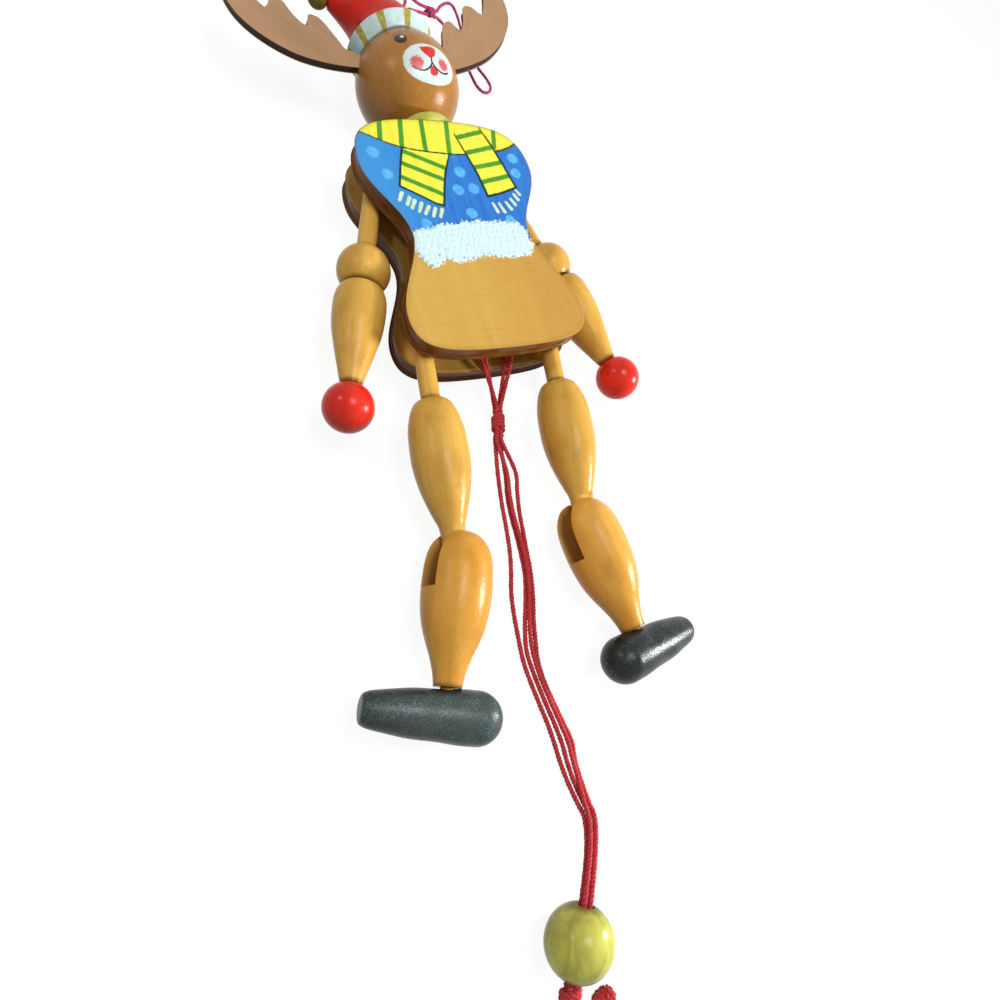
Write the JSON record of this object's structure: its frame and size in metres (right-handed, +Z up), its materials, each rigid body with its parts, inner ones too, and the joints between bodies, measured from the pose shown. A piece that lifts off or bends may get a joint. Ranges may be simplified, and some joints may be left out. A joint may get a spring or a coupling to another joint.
{
  "type": "jumping jack toy",
  "caption": "Wooden reindeer jumping jack toy with a painted sweater and scarf, red cone hat, turned arms and legs, black shoes and a red pull cord with a bead",
  "frame": {"origin": "bottom centre of the toy's box without its cords, lying on its back", "axes": "+X to the viewer's right of the painted front, +Y to the head, +Z up, out of the painted front"},
  "size_m": [0.1256, 0.3546, 0.0362],
  "materials": {
    "varnished_wood": "amber varnish, semi-gloss, darker at the ends",
    "plain_wood": "unvarnished hardwood, matt",
    "painted_front": "hand-painted plywood under varnish, semi-gloss",
    "collar_yellow_green": "yellow-green paint, semi-gloss",
    "head_wood": "amber varnish with a hand-painted face, glossy",
    "antler_stain": "pinkish tan stain, matt, dark sawn edges",
    "red_paint": "red paint, glossy",
    "hat_red": "red paint, satin",
    "cuff_white": "white paint with gold strokes, satin",
    "gold_paint": "gold paint, satin",
    "black_paint": "black paint, glossy",
    "bead_gold_green": "gold-green paint, glossy",
    "crimson_thread": "twisted cotton twine",
    "pink_thread": "twisted cotton twine",
    "steel_wire": "drawn steel wire and nails"
  },
  "bodies": {
    "torso": {"board_back": "varnished_wood", "board_front": "painted_front", "neck_block": "plain_wood", "waist_spacer": "plain_wood", "shoulder_pin_left": "steel_wire", "shoulder_pin_right": "steel_wire", "hip_pin_left": "steel_wire", "hip_pin_right": "steel_wire", "neck_dowel": "plain_wood", "neck_collar": "collar_yellow_green", "head": "head_wood", "antler_left": "antler_stain", "antler_right": "antler_stain", "hat_cuff": "cuff_white", "hat_cone": "hat_red", "hat_tip": "gold_paint", "hat_dowel": "head_wood", "hanger_eye": "steel_wire", "hanger_cord": "pink_thread", "hanger_loop": "pink_thread", "hanger_knot": "pink_thread"},
    "arm_left": {"arm_left": "varnished_wood", "hand_left": "red_paint"},
    "leg_left": {"thigh_left": "varnished_wood"},
    "shin_left": {"shin_left": "varnished_wood", "shoe_left": "black_paint", "knee_pin_left": "steel_wire"},
    "arm_right": {"arm_right": "varnished_wood", "hand_right": "red_paint"},
    "leg_right": {"thigh_right": "varnished_wood"},
    "shin_right": {"shin_right": "varnished_wood", "shoe_right": "black_paint", "knee_pin_right": "steel_wire"},
    "pull": {"gather_knot": "crimson_thread", "pull_strand_1": "crimson_thread", "pull_strand_2": "crimson_thread", "pull_strand_3": "crimson_thread", "pull_strand_4": "crimson_thread", "pull_bead": "bead_gold_green", "bead_knot": "crimson_thread", "end_knot": "crimson_thread", "tail_cord_1": "crimson_thread", "tail_cord_2": "crimson_thread", "arm_cord_left": "crimson_thread", "arm_cord_right": "crimson_thread", "leg_cord_left": "crimson_thread", "leg_cord_right": "crimson_thread"}
  },
  "joints": [
    {"name": "hip_left", "type": "hinge", "parent": "torso", "child": "leg_left", "pos_m": [-0.01199, -0.00193, 0.01413], "axis": [0, 0.0457, -0.999], "range_deg": [0, 75]},
    {"name": "hip_right", "type": "hinge", "parent": "torso", "child": "leg_right", "pos_m": [0.03401, -0.00193, 0.01413], "axis": [0, -0.0457, 0.999], "range_deg": [0, 75.1]},
    {"name": "shoulder_left", "type": "hinge", "parent": "torso", "child": "arm_left", "pos_m": [-0.01049, 0.05001, 0.01651], "axis": [0, 0.0457, -0.999], "range_deg": [0, 90.1]},
    {"name": "shoulder_right", "type": "hinge", "parent": "torso", "child": "arm_right", "pos_m": [0.03251, 0.05001, 0.01651], "axis": [0, -0.0457, 0.999], "range_deg": [0, 90.1]},
    {"name": "knee_left", "type": "hinge", "parent": "leg_left", "child": "shin_left", "pos_m": [-0.02403, -0.08245, 0.01045], "axis": [-0.2518, 0.1559, -0.9551], "range_deg": [-20, 75]},
    {"name": "knee_right", "type": "hinge", "parent": "leg_right", "child": "shin_right", "pos_m": [0.02169, -0.08241, 0.01045], "axis": [0.1556, -0.0288, 0.9874], "range_deg": [-20, 75]},
    {"name": "pull_slide", "type": "slide", "parent": "torso", "child": "pull", "axis": [0, -1, 0], "range_m": [0, 0.0081], "deforming": ["arm_cord_left", "arm_cord_right", "leg_cord_left", "leg_cord_right"]}
  ],
  "couplings": [
    {"joint": "hip_right", "follows": "hip_left", "ratio": 1},
    {"joint": "shoulder_left", "follows": "hip_left", "ratio": 1.2},
    {"joint": "shoulder_right", "follows": "hip_left", "ratio": 1.2},
    {"joint": "pull_slide", "follows": "hip_left", "m_per_rad": 0.0061115}
  ]
}
